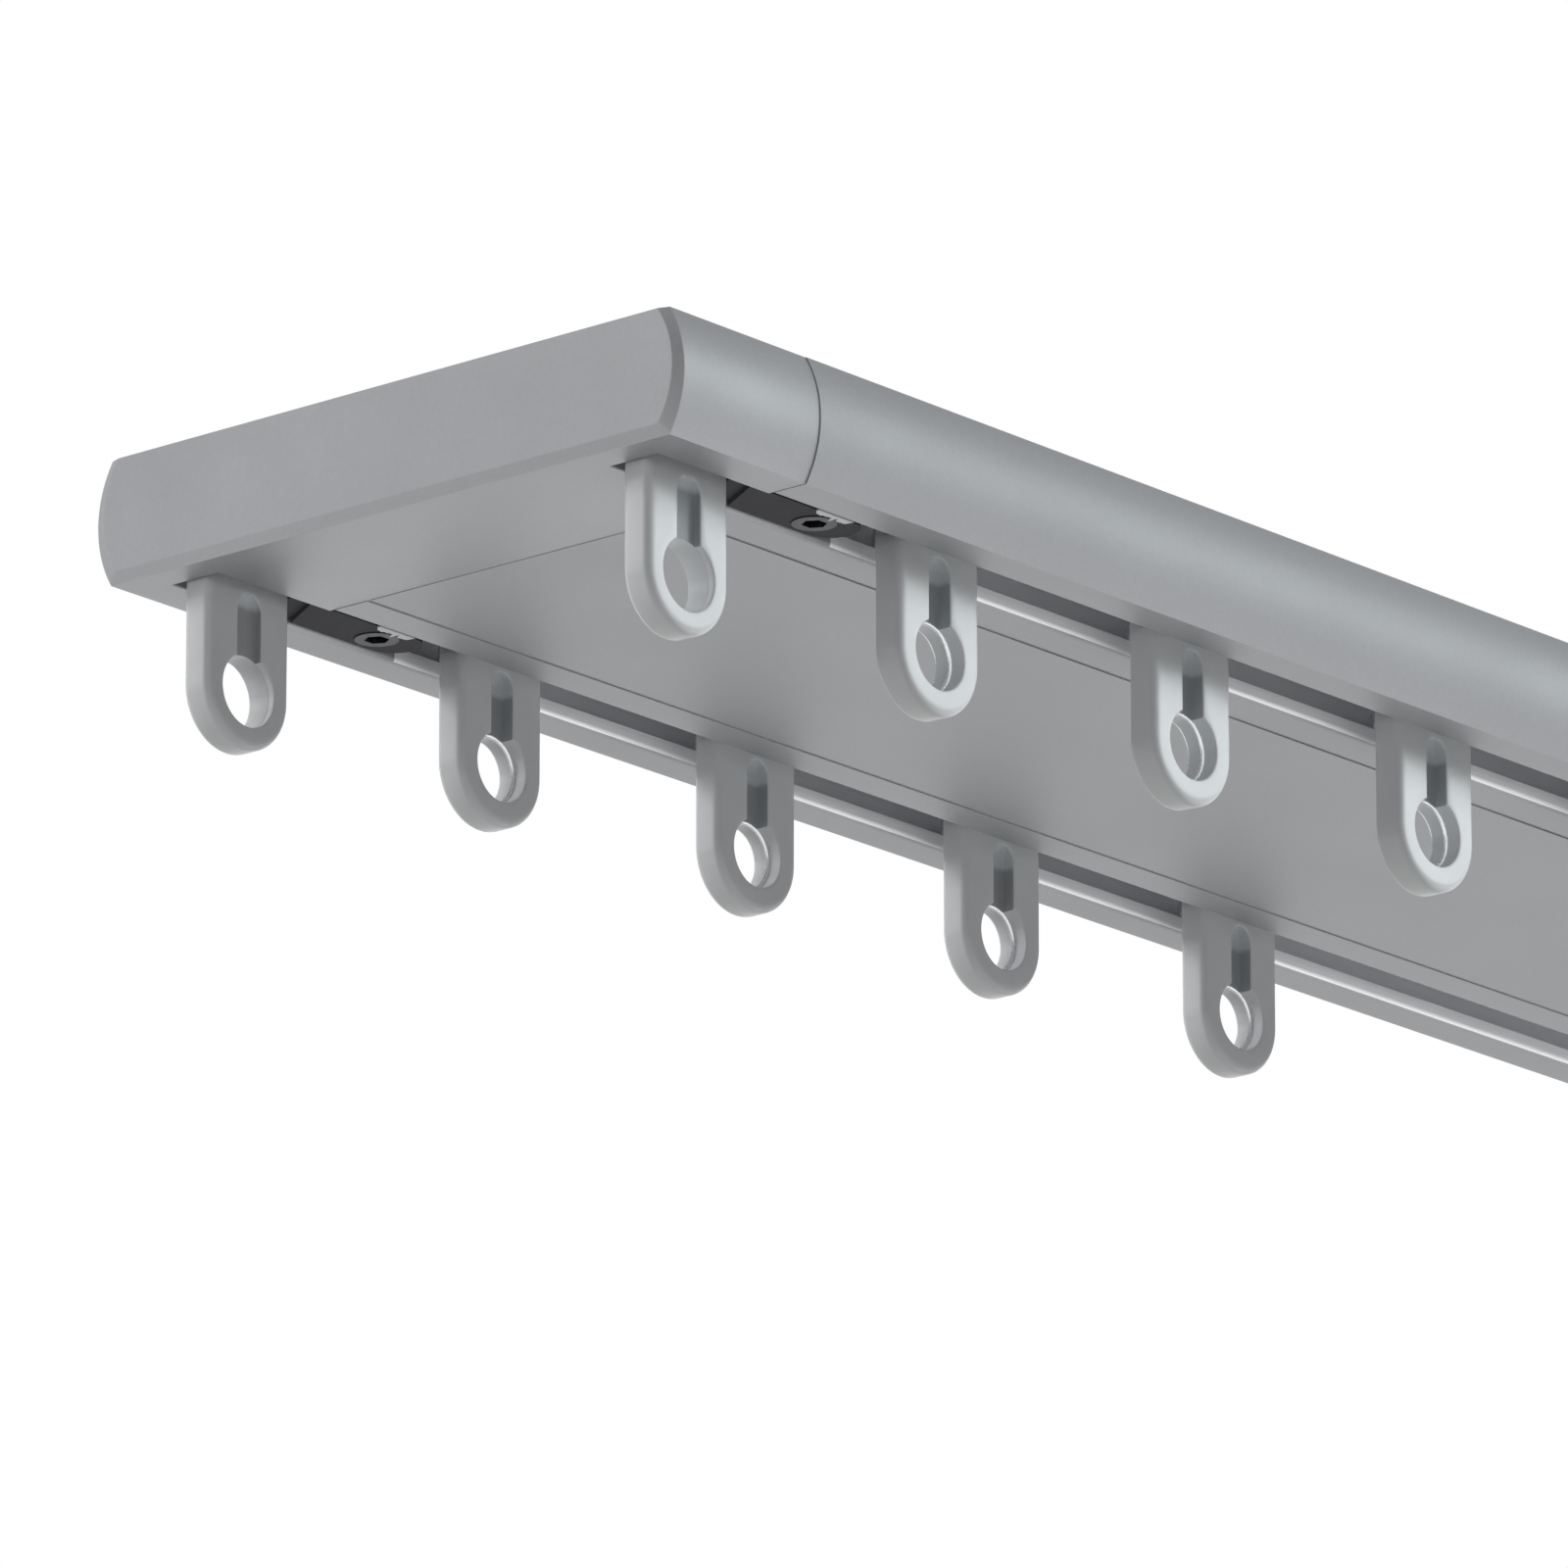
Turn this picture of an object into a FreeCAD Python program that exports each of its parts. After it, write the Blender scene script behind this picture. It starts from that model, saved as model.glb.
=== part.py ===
import FreeCAD, Part
import math
import os
from FreeCAD import Vector

# Double ceiling curtain track: a flat aluminium extrusion with two channels that open downwards,
# two end caps, and in each channel a row of hanging eyes for curtain hooks.
# Lengths are millimetres. X runs along the track, Y runs across it and +Z points to the ceiling.
# The origin is the middle of the ceiling face. The front edge of the track faces -Y.

# Rail section
rail_length = 264.0
rail_height = 11.5
side_wall = 1.55             # between a channel and the sharp long edges at the ceiling and underside
side_bulge = 1.65            # how far each long side swells past those edges
row_spacing = 51.0           # between the middles of the two slots
slot_width = 6.0
lip_thickness = 1.5          # the lips that the gliders run on
lip_round = 0.6
channel_width = 11.0
channel_corner = 0.8
roof_thickness = 1.3
floor_thickness = 1.3        # skin under the hollow middle
web_thickness = 1.3          # walls between a channel and the hollow middle
middle_web_spacing = 13.0    # between the two webs that stiffen the hollow middle
groove_from_slot = 7.5       # from the middle of a slot to the fine groove beside it
groove_width = 0.5
groove_depth = 0.35

# Ceiling screw holes in the roof of each channel
screw_hole_diameter = 4.4
screw_hole_spacing = 180.0
screw_holes_per_row = 2

# End caps
cap_length = 18.2            # the part that shows past the end of the rail
cap_step = 0.12              # how much smaller the cap's outline is than the rail's
cap_bevel_face = 1.07        # bevel round the end face: its width on the end face, and along the cap
cap_bevel_side = 0.4
cap_end_wall = 2.0
cap_slot_step = 0.35         # how much the cap's slot is narrower on each side than the rail's
cap_slot_start = 3.65        # from the end face to the closed end of the slot
spigot_length = 12.0         # how far the cap reaches into the rail
spigot_clearance = 0.1
spigot_wall = 1.4
spigot_lead = 0.8

# Hanging eyes: what the two kinds share
eye_thickness = 3.1
eye_edge_bevel = 0.45
neck_end_gap = 0.25          # between a neck and the closed end of a slot
head_thickness = 2.4
head_side_clearance = 0.9
head_corner = 2.7            # cut off each corner, which leaves an even octagon
head_crown_bevel = 0.6
running_clearance = 0.05     # between the head and the lip that carries it

# Fixed end eyes
end_eye_width = 10.6
end_eye_drop = 14.5
end_bore_diameter = 6.6
end_key_width = 3.0
end_key_depth = 0.7
end_key_top = -0.4           # top of the keyhole slot, measured up from the track's underside

# Running gliders
gliders_per_row = 4
glider_pitch = 35.0
first_glider_gap = 4.8       # between the end stop and the first glider
glider_width = 11.0
glider_drop = 13.85
bore_diameter = 6.4
key_width = 2.85
key_depth = 1.35
key_top = 0.5
relief_width = 1.2           # slit that lets the head be squeezed into the slot
relief_below_head = 0.2

# End stops and their screws
stop_gap = 0.3               # between the end eye and the stop
stop_reach = 32.3            # from the cap's end face to the stop's rounded nose
stop_neck_clearance = 0.1    # between the stop's neck and each side of the cap's slot
stop_recess = 0.3            # how far the stop's underside lies above the track's underside
stop_head_height = 5.0
stop_head_clearance = 0.7
stop_head_corner = 1.6
stop_step_depth = 0.45
stop_step_front = 1.1        # slanting step in the underside: its reach at the front and the rear side
stop_step_rear = 4.5
screw_diameter = 4.0
screw_fit = 0.02
screw_from_nose = 4.8        # from the stop's rounded nose to the middle of the screw
screw_recess = 0.12
screw_tip_gap = 0.05
socket_flats = 2.0
socket_depth = 2.2

# Sizes, levels and places that follow from the sizes above
edge_width = row_spacing + channel_width + 2 * side_wall
cap_slot_width = slot_width - 2 * cap_slot_step
stop_neck_width = cap_slot_width - 2 * stop_neck_clearance
underside = -rail_height
lip_top = underside + lip_thickness
channel_roof = -roof_thickness
half_length = rail_length / 2 + cap_length
row_middle = {"front": -row_spacing / 2, "rear": row_spacing / 2}
channel_inner = row_spacing / 2 - channel_width / 2

# Middles and starts along the track, measured from the cap's end face
end_eye_x = cap_slot_start + neck_end_gap + end_eye_width / 2
stop_start = end_eye_x + end_eye_width / 2 + stop_gap
screw_x = stop_reach - screw_from_nose
first_glider_x = stop_reach + first_glider_gap + glider_width / 2


def box(x_range, y_range, z_range):
    """A box between the two ends of each range."""
    corner = Vector(x_range[0], y_range[0], z_range[0])
    size = (x_range[1] - x_range[0], y_range[1] - y_range[0], z_range[1] - z_range[0])
    return Part.makeBox(*size, corner)


def along(value, x_range, z_range, width):
    """A box centred on y = value, as wide as said."""
    return box(x_range, (value - width / 2, value + width / 2), z_range)


def upright_edges(shape, axis):
    """The straight edges of a solid that run along one axis, given as a unit vector."""
    found = []
    for edge in shape.Edges:
        if isinstance(edge.Curve, Part.Line) and abs(abs(edge.Curve.Direction.dot(axis)) - 1) < 1e-6:
            found.append(edge)
    return found


def mirrored(shape):
    """The same piece for the other end of the track."""
    return shape.mirror(Vector(0, 0, 0), Vector(1, 0, 0))


def outer_bar(start, length, inset=0.0):
    """The track's outline, flat above and below and swelling at its long sides, as a solid bar."""
    half = edge_width / 2 - inset
    low = underside + inset
    middle = low / 2
    corners = [Vector(start, half, 0), Vector(start, half, low), Vector(start, -half, low),
               Vector(start, -half, 0)]
    swell = [Vector(start, half + side_bulge, middle), Vector(start, -half - side_bulge, middle)]
    edges = [
        Part.Arc(corners[0], swell[0], corners[1]).toShape(),
        Part.LineSegment(corners[1], corners[2]).toShape(),
        Part.Arc(corners[2], swell[1], corners[3]).toShape(),
        Part.LineSegment(corners[3], corners[0]).toShape(),
    ]
    return Part.Face(Part.Wire(edges)).extrude(Vector(length, 0, 0))


def channel_space(y, start, end):
    """The space above the lips of one channel, with rounded long corners."""
    space = along(y, (start, end), (lip_top, channel_roof), channel_width)
    return space.makeFillet(channel_corner, upright_edges(space, Vector(1, 0, 0)))


def chamber_ranges():
    """Where the hollow chambers between the two channels begin and end across the track."""
    outer = channel_inner - web_thickness
    inner = (middle_web_spacing + web_thickness) / 2
    core = (middle_web_spacing - web_thickness) / 2
    return [(-outer, -inner), (-core, core), (inner, outer)]


def rail_profile():
    start = -rail_length / 2
    end = rail_length / 2
    rail = outer_bar(start, rail_length)
    for y in row_middle.values():
        rail = rail.cut(channel_space(y, start, end))
        rail = rail.cut(along(y, (start, end), (underside, lip_top), slot_width))
    for y_range in chamber_ranges():
        rail = rail.cut(box((start, end), y_range, (underside + floor_thickness, channel_roof)))
    for side in (-1, 1):
        y = side * (row_spacing / 2 - groove_from_slot)
        rail = rail.cut(along(y, (start, end), (underside, underside + groove_depth), groove_width))
    for y in row_middle.values():
        for number in range(screw_holes_per_row):
            x = (number - (screw_holes_per_row - 1) / 2) * screw_hole_spacing
            hole = Part.makeCylinder(screw_hole_diameter / 2, 2 * roof_thickness,
                                     Vector(x, y, channel_roof - roof_thickness / 2))
            rail = rail.cut(hole)
    return rail.makeFillet(lip_round, slot_edges(rail, slot_width, rail_length))


def slot_edges(shape, width, length):
    """The lower edges of the lips: full-length edges at the underside, half a slot from a row."""
    found = []
    for edge in upright_edges(shape, Vector(1, 0, 0)):
        middle = edge.CenterOfMass
        from_row = min(abs(middle.y - y) for y in row_middle.values())
        at_slot = abs(from_row - width / 2) < 1e-6 and abs(edge.Length - length) < 1e-6
        if at_slot and middle.z < lip_top - lip_thickness / 2:
            found.append(edge)
    return found


def spigot(y_range):
    """A hollow peg that plugs into one chamber of the rail, with tapered leading edges."""
    low = underside + floor_thickness + spigot_clearance
    high = channel_roof - spigot_clearance
    y0 = y_range[0] + spigot_clearance
    y1 = y_range[1] - spigot_clearance
    start = -half_length + cap_end_wall
    end = -half_length + cap_length + spigot_length
    peg = box((start, end), (y0, y1), (low, high))
    tips = [edge for edge in peg.Edges if abs(edge.CenterOfMass.x - end) < 1e-6]
    peg = peg.makeChamfer(spigot_lead, tips)
    hollow = box((start, end), (y0 + spigot_wall, y1 - spigot_wall),
                 (low + spigot_wall, high - spigot_wall))
    return peg.cut(hollow)


def end_cap():
    """The left cap: it continues the rail's outline and closes it, with its own slots and channels."""
    end_face = -half_length
    seam = end_face + cap_length
    cap = outer_bar(end_face, cap_length, cap_step)
    rim = [edge for edge in cap.Edges if abs(edge.BoundBox.XMax - end_face) < 1e-6]
    below = [edge for edge in rim if edge.CenterOfMass.z < -1e-6]
    cap = cap.makeChamfer(cap_bevel_side, cap_bevel_face, below)
    inside = end_face + cap_end_wall
    for y in row_middle.values():
        cap = cap.cut(channel_space(y, inside, seam))
        cap = cap.cut(along(y, (end_face + cap_slot_start, seam), (underside, lip_top), cap_slot_width))
    middle = channel_inner - web_thickness
    cap = cap.cut(box((inside, seam), (-middle, middle), (underside + floor_thickness, channel_roof)))
    outer_chambers = chamber_ranges()[0], chamber_ranges()[2]
    return cap.fuse([spigot(y_range) for y_range in outer_chambers]).removeSplitter()


def eye_plate(x, y, width, drop, top):
    """A hanging plate with a round lower end and bevelled edges all the way round its two faces."""
    radius = width / 2
    low = underside - drop
    face_y = y - eye_thickness / 2
    corners = [Vector(x - radius, face_y, top), Vector(x - radius, face_y, low + radius),
               Vector(x + radius, face_y, low + radius), Vector(x + radius, face_y, top)]
    edges = [
        Part.LineSegment(corners[0], corners[1]).toShape(),
        Part.Arc(corners[1], Vector(x, face_y, low), corners[2]).toShape(),
        Part.LineSegment(corners[2], corners[3]).toShape(),
        Part.LineSegment(corners[3], corners[0]).toShape(),
    ]
    plate = Part.Face(Part.Wire(edges)).extrude(Vector(0, eye_thickness, 0))
    rims = []
    for edge in plate.Edges:
        box_of_edge = edge.BoundBox
        flat_to_face = box_of_edge.YLength < 1e-6
        on_top = box_of_edge.ZMin > top - 1e-6
        if flat_to_face and not on_top:
            rims.append(edge)
    return plate.makeChamfer(eye_edge_bevel, rims)


def keyhole_slot(x, y, bore_z, width, depth, top):
    """The cutter for the upper arm of a keyhole: a flat-bottomed slot with a round upper end."""
    face_y = y - eye_thickness / 2
    end_z = underside + top - width / 2
    arm = box((x - width / 2, x + width / 2), (face_y - depth, face_y + depth), (bore_z, end_z))
    round_end = Part.makeCylinder(width / 2, 2 * depth, Vector(x, face_y - depth, end_z), Vector(0, 1, 0))
    return arm.fuse(round_end).removeSplitter()


def eye_head(x, y):
    """The eight-sided head inside the channel: it rests on both lips, and its crown is bevelled."""
    low = lip_top + running_clearance
    half = channel_width / 2 - head_side_clearance
    head = box((x - half, x + half), (y - half, y + half), (low, low + head_thickness))
    head = head.makeChamfer(head_corner, upright_edges(head, Vector(0, 0, 1)))
    crown = [edge for edge in head.Edges if edge.BoundBox.ZMin > low + head_thickness - 1e-6]
    return head.makeChamfer(head_crown_bevel, crown)


def bore(x, y, z, diameter, depth_from, depth_to):
    """A round cutter along Y, between two depths behind the plate's front face."""
    face_y = y - eye_thickness / 2
    return Part.makeCylinder(diameter / 2, depth_to - depth_from,
                             Vector(x, face_y + depth_from, z), Vector(0, 1, 0))


def end_eye(y):
    """A fixed end eye of the left end: a plain bore with a shallow keyhole slot above it."""
    x = -half_length + end_eye_x
    bore_z = underside - end_eye_drop + end_eye_width / 2
    eye = eye_plate(x, y, end_eye_width, end_eye_drop, lip_top + running_clearance)
    eye = eye.cut(keyhole_slot(x, y, bore_z, end_key_width, end_key_depth, end_key_top))
    eye = eye.cut(bore(x, y, bore_z, end_bore_diameter, -eye_thickness, 2 * eye_thickness))
    return eye.fuse(eye_head(x, y)).removeSplitter()


def glider(x, y):
    """A running glider: a through bore, a deep keyhole slot above it, and a head that can be squeezed."""
    bore_z = underside - glider_drop + glider_width / 2
    piece = eye_plate(x, y, glider_width, glider_drop, lip_top + running_clearance)
    piece = piece.cut(keyhole_slot(x, y, bore_z, key_width, key_depth, key_top))
    piece = piece.cut(bore(x, y, bore_z, bore_diameter, -eye_thickness, 2 * eye_thickness))
    piece = piece.fuse(eye_head(x, y)).removeSplitter()
    top = lip_top + running_clearance + head_thickness
    low = lip_top + running_clearance - relief_below_head
    slit = along(y, (x - glider_width, x + glider_width), (low, top), relief_width)
    return piece.cut(slit)


def end_stop(y):
    """The left end's stop: a block in the channel with a neck that fills the slot beside the eye."""
    end_face = -half_length
    start = end_face + stop_start
    nose = end_face + stop_reach
    low = underside + stop_recess
    radius = stop_neck_width / 2
    neck = along(y, (start, nose - radius), (low, lip_top + running_clearance), stop_neck_width)
    round_end = Part.makeCylinder(radius, lip_top + running_clearance - low,
                                  Vector(nose - radius, y, low))
    neck = neck.fuse(round_end).removeSplitter()
    front = Vector(start + stop_step_front, y - slot_width / 2, low)
    rear = Vector(start + stop_step_rear, y + slot_width / 2, low)
    corner = Vector(start, front.y, low)
    corners = [corner, front, rear, Vector(start, rear.y, low), corner]
    step = Part.Face(Part.makePolygon(corners)).extrude(Vector(0, 0, stop_step_depth))
    neck = neck.cut(step)
    head_width = channel_width - 2 * stop_head_clearance
    head_low = lip_top + running_clearance
    head = along(y, (start, nose), (head_low, head_low + stop_head_height), head_width)
    head = head.makeChamfer(stop_head_corner, upright_edges(head, Vector(0, 0, 1)))
    block = head.fuse(neck).removeSplitter()
    hole = Part.makeCylinder(screw_diameter / 2 + screw_fit, rail_height,
                             Vector(end_face + screw_x, y, underside))
    return block.cut(hole)


def stop_screw(y):
    """A headless screw that clamps the stop against the roof, with a hexagon socket at its lower end."""
    x = -half_length + screw_x
    low = underside + stop_recess - screw_recess
    body = Part.makeCylinder(screw_diameter / 2, channel_roof - screw_tip_gap - low, Vector(x, y, low))
    corner = socket_flats / 2 / math.cos(math.pi / 6)
    corners = []
    for number in range(7):
        angle = number * math.pi / 3
        corners.append(Vector(x + corner * math.cos(angle), y + corner * math.sin(angle), low))
    socket = Part.Face(Part.makePolygon(corners)).extrude(Vector(0, 0, socket_depth))
    return body.cut(socket)


def write(name, shape):
    shape.exportStep("parts/" + name + ".step")


def main():
    os.makedirs("parts", exist_ok=True)
    write("rail_profile", rail_profile())
    cap = end_cap()
    write("end_cap_left", cap)
    write("end_cap_right", mirrored(cap))
    for row, y in row_middle.items():
        for name, maker in (("end_eye", end_eye), ("end_stop", end_stop), ("stop_screw", stop_screw)):
            piece = maker(y)
            write(name + "_" + row + "_left", piece)
            write(name + "_" + row + "_right", mirrored(piece))
        for number in range(gliders_per_row):
            x = -half_length + first_glider_x + number * glider_pitch
            write("glider_%s_%02d" % (row, number + 1), glider(x, y))


main()
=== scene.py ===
import math
import bmesh
import bpy
import numpy as np
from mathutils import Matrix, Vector
from mathutils.geometry import tessellate_polygon


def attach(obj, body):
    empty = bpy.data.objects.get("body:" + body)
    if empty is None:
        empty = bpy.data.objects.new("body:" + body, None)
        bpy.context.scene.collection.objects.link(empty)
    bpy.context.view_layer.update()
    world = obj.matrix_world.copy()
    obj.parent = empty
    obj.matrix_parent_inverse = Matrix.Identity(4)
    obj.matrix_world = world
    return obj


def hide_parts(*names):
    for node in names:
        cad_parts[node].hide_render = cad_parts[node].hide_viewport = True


# Looks of the double ceiling curtain track: the extruded rail, its end caps, the hanging eyes,
# the end stops and their screws. Lengths are millimetres, and each mesh is turned to metres once.
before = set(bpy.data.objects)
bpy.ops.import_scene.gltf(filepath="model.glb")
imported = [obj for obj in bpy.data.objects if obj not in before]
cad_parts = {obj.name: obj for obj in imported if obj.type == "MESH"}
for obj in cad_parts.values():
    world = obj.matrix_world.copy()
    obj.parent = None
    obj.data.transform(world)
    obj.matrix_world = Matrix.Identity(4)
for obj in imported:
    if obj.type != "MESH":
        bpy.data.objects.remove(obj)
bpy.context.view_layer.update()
MM = 0.001

# Sizes of the frame that the finer pieces repeat
HALF_LENGTH = 150.2
RAIL_HALF = 132.0
UNDERSIDE = -11.5
LIP_TOP = -10.0
ROOF = -1.3
EDGE_HALF = 32.55
BULGE = 1.65
ROWS = {"front": -25.5, "rear": 25.5}
SLOT_HALF = 3.0
CHANNEL_HALF = 5.5
CHANNEL_CORNER = 0.8
LIP_ROUND = 0.6
GROOVE_Y = 18.0
GROOVE_HALF = 0.25
SCREW_HOLE_X = 90.0
SCREW_HOLE_RADIUS = 2.2
CAP_SLOT_HALF = 2.65
CAP_SLOT_START = 3.65
END_BAND_FACE = 1.07
END_BAND_SIDE = 0.4
NECK_END_GAP = 0.25
GLIDERS = 4
FIRST_GLIDER_X = 42.6
GLIDER_PITCH = 35.0
EYE_THICKNESS = 3.1
HEAD_GAP = 0.05
HEAD_HALF = 4.6
HEAD_CORNER = 2.7
HEAD_HEIGHT = 2.4
RELIEF_HALF = 0.6

# Finer sizes that only the looks have: the stretch of the rail whose lip walls carry painted light, the
# groove's depth, the step from the rail down to the caps, and the small radii of the edges
LIT_LIP_HALF = 117.0
GROOVE_DEPTH = 0.12
CAP_STEP = 0.1
CAP_STEP_BELOW = 0.04
CAP_LIP_ROUND = 0.25
END_BAND_ROUND = 0.08
SEAM_ROUND = 0.05
BACK_RIM_ROUND = 0.2
KEY_FLOOR_ROUND = 0.12
KEY_LIP_ROUND = 0.16
SHARP_DEGREES = 32

# Bright jagged slivers on the lips' edges beside the clamp screws: a painted glint
GLINT_SLIVER_X = 123.6
GLINT_SLIVER_LENGTH = 4.6
GLINT_SLIVER_TEETH = 12
GLINT_SLIVER_SHARP_DEGREES = 20

# Level above which the keyholes' arms keep the plain acetal tone instead of the painted shade, and how far
# the change reaches
RAMP_FOOT = -13.2
RAMP_BLEND = 0.5

# The studio. The white room lights the track this strongly. Its reflections are dimmer round some
# directions, each with the cosines at which the dimming starts and is full, and the level there.
ROOM_LIGHT = 0.205
DIM_SIDES = [((-0.96, -0.15, 0.24), 0.78, 0.96, 0.2), ((0, 0, 1), 0.35, 0.9, 0.7),
             ((-0.66, 0.6, -0.46), 0.76, 0.95, 0.1), ((0.73, -0.05, 0.69), 0.7, 0.97, 0.55),
             ((0.73, -0.5, -0.47), 0.75, 0.97, 0.5)]
# Soft lamps: name, direction, side in metres, watts, colour, and whether the metal mirrors them
LAMP_DISTANCE = 2.2
LAMP_TARGET = (-0.05, 0, -0.01)
LAMPS = [("key_light", (0.78, -0.54, 0.32), 0.9, 45, "f9feff", False),
         ("sheen_light", (0.73, -0.6, 0.33), 0.7, 2.6, "ecffff", True),
         ("rim_light", (-0.54, 0.84, 0.35), 0.7, 23, "ffffff", False),
         ("fill_light", (-0.99, 0.02, 0.04), 0.7, 4.8, "ffffff", False),
         ("end_light", (-0.73, 0.62, 0.29), 0.9, 1.5, "ffffff", True),
         ("edge_light", (0.73, -0.3, -0.62), 0.9, 3, "ffffff", True)]
FLOOR_HEIGHT = -2.4
FLOOR_REACH = 30.0

# The photograph's view
CAMERA_PLACE = (-1.0735, -0.83595, -0.41864)
CAMERA_YAW = 49.436
CAMERA_PITCH = 17.076
CAMERA_LENS = 348.28

# Two kinds of hanging eye. Heights are measured from the middle of the bore.
END_EYE = dict(half=5.3, drop=14.5, bore=3.3, pocket=3.3, key_half=1.5, key_depth=0.7, key_top=8.8,
               ramp=1.7, ledge_round=0.02, edge=0.75)
GLIDER = dict(half=5.5, drop=13.85, bore=2.95, pocket=3.22, key_half=1.42, key_depth=1.35, key_top=8.85,
              ramp=1.45, ledge_round=0.24, edge=0.75)


# Colours and materials

def hex_colour(text):
    """The linear colour of an sRGB hex value such as 8899aa."""
    values = [int(text[i:i + 2], 16) / 255 for i in (0, 2, 4)]
    linear = [v / 12.92 if v <= 0.04045 else ((v + 0.055) / 1.055) ** 2.4 for v in values]
    return (*linear, 1.0)


def add(tree, kind, inputs=None, **settings):
    """Adds one node. Settings are its own properties; inputs are values or sockets by name or number."""
    node = tree.nodes.new(kind)
    for name, value in settings.items():
        setattr(node, name, value)
    for name, value in (inputs or {}).items():
        if isinstance(value, bpy.types.NodeSocket):
            tree.links.new(value, node.inputs[name])
        else:
            node.inputs[name].default_value = value
    return node


def new_material(name):
    """An empty material, its node tree, and the object's own coordinates in metres."""
    made = bpy.data.materials.new(name)
    made.use_nodes = True
    tree = made.node_tree
    tree.nodes.clear()
    place = add(tree, "ShaderNodeTexCoord").outputs["Object"]
    return made, tree, place


def finish_material(tree, colour, rough, height=None, strength=0.0, relief_mm=0.0, **inputs):
    """The material's surface: its colour and roughness, a fine relief where a height is given, and any
    other inputs of the shader by name."""
    if height is not None:
        relief = {"Height": height, "Strength": strength, "Distance": relief_mm * MM}
        inputs["Normal"] = add(tree, "ShaderNodeBump", relief).outputs["Normal"]
    shader = add(tree, "ShaderNodeBsdfPrincipled", {"Base Color": colour, "Roughness": rough, **inputs})
    add(tree, "ShaderNodeOutputMaterial", {"Surface": shader.outputs["BSDF"]})


def grain(tree, place, size_mm, stretch=(1, 1, 1), detail=2.0):
    """Noise whose cells are about size_mm across, stretched by a factor along each axis."""
    scale = [1 / s for s in stretch]
    moved = add(tree, "ShaderNodeMapping", {"Vector": place, "Scale": scale}).outputs["Vector"]
    return add(tree, "ShaderNodeTexNoise", {"Vector": moved, "Scale": 1 / (size_mm * MM),
                                            "Detail": detail, "Roughness": 0.55}).outputs["Fac"]


def span(tree, factor, low, high):
    """A factor around its middle, spread between two values."""
    return add(tree, "ShaderNodeMapRange", {"Value": factor, "From Min": 0.3, "From Max": 0.7,
                                            "To Min": low, "To Max": high}).outputs["Result"]


def two_tones(tree, factor, dark, light):
    """A colour between two hex tones, by a factor."""
    return add(tree, "ShaderNodeMix", {"Factor": factor, 6: hex_colour(dark), 7: hex_colour(light)},
               data_type="RGBA").outputs[2]


def anodised_aluminium():
    """Extruded aluminium, etched and clear anodised: a satin silver with a fine grain, faint die lines
    along the extrusion and soft reflections."""
    made, tree, place = new_material("anodised_aluminium_satin")
    etched = grain(tree, place, 0.5)
    cloud = grain(tree, place, 14.0)
    die_lines = grain(tree, place, 0.35, stretch=(400, 1, 1), detail=1.0)
    tone = span(tree, etched, 0.25, 0.75)
    colour = two_tones(tree, tone, "a8a9ac", "afb0b3")
    rough = span(tree, cloud, 0.5, 0.54)
    height = add(tree, "ShaderNodeMath", {0: etched, 1: die_lines}, operation="ADD").outputs[0]
    finish_material(tree, colour, rough, height, 0.12, 0.04, Metallic=0.6)
    return made


def painted_light_aluminium(name, dark, light, rough_low, rough_high):
    """Aluminium in two given tones with fine scratches along the track. Its lighter copies on the channels'
    insides and the lips' walls are painted light, and its copy on the slivers beside the clamp screws is a
    painted glint.
    """
    made, tree, place = new_material(name)
    scratches = grain(tree, place, 0.2, stretch=(60, 1, 1))
    colour = two_tones(tree, span(tree, scratches, 0.2, 0.8), dark, light)
    rough = span(tree, scratches, rough_low, rough_high)
    finish_material(tree, colour, rough, scratches, 0.1, 0.04, Metallic=0.95)
    return made


def silver_moulding():
    """Moulded ABS with a silver pigment, as the end caps have: close to the rail's tone, a little
    duller, with a fine even texture from the mould."""
    made, tree, place = new_material("silver_abs_moulded")
    texture = grain(tree, place, 0.4)
    flow = grain(tree, place, 9.0)
    colour = two_tones(tree, span(tree, texture, 0.2, 0.8), "aaabae", "b0b1b4")
    rough = span(tree, flow, 0.46, 0.5)
    finish_material(tree, colour, rough, texture, 0.14, 0.05, Metallic=0.65)
    return made


def acetal():
    """Moulded acetal of the hanging eyes: a smooth pale grey, slightly waxy, that slides well."""
    made, tree, place = new_material("acetal_pale_grey")
    texture = grain(tree, place, 0.8)
    flow = grain(tree, place, 4.0)
    colour = two_tones(tree, span(tree, flow, 0.2, 0.8), "d6d8da", "dddfe1")
    rough = span(tree, texture, 0.2, 0.26)
    finish_material(tree, colour, rough, texture, 0.06, 0.05, IOR=1.48)
    return made


def shaded_arm_acetal():
    """Matt acetal in the arms of the keyholes, with painted shade: darker below the foot of the ramp at the
    upper end, the plain acetal tone above it."""
    made, tree, place = new_material("acetal_arm_painted_shade")
    texture = grain(tree, place, 0.3)
    height = add(tree, "ShaderNodeSeparateXYZ", {"Vector": place}).outputs["Z"]
    ramp = add(tree, "ShaderNodeMapRange", {"Value": height, "From Min": RAMP_FOOT * MM,
                                            "From Max": (RAMP_FOOT + RAMP_BLEND) * MM}).outputs["Result"]
    # Painted shade: the arm's tones are darker than the acetal's
    arm_shade = two_tones(tree, span(tree, texture, 0.2, 0.8), "a3a6a9", "aeb1b4")
    colour = add(tree, "ShaderNodeMix", {"Factor": ramp, 6: arm_shade, 7: hex_colour("d4d8dc")},
                 data_type="RGBA").outputs[2]
    finish_material(tree, colour, 0.6, texture, 0.15, 0.05, IOR=1.48)
    return made


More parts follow.
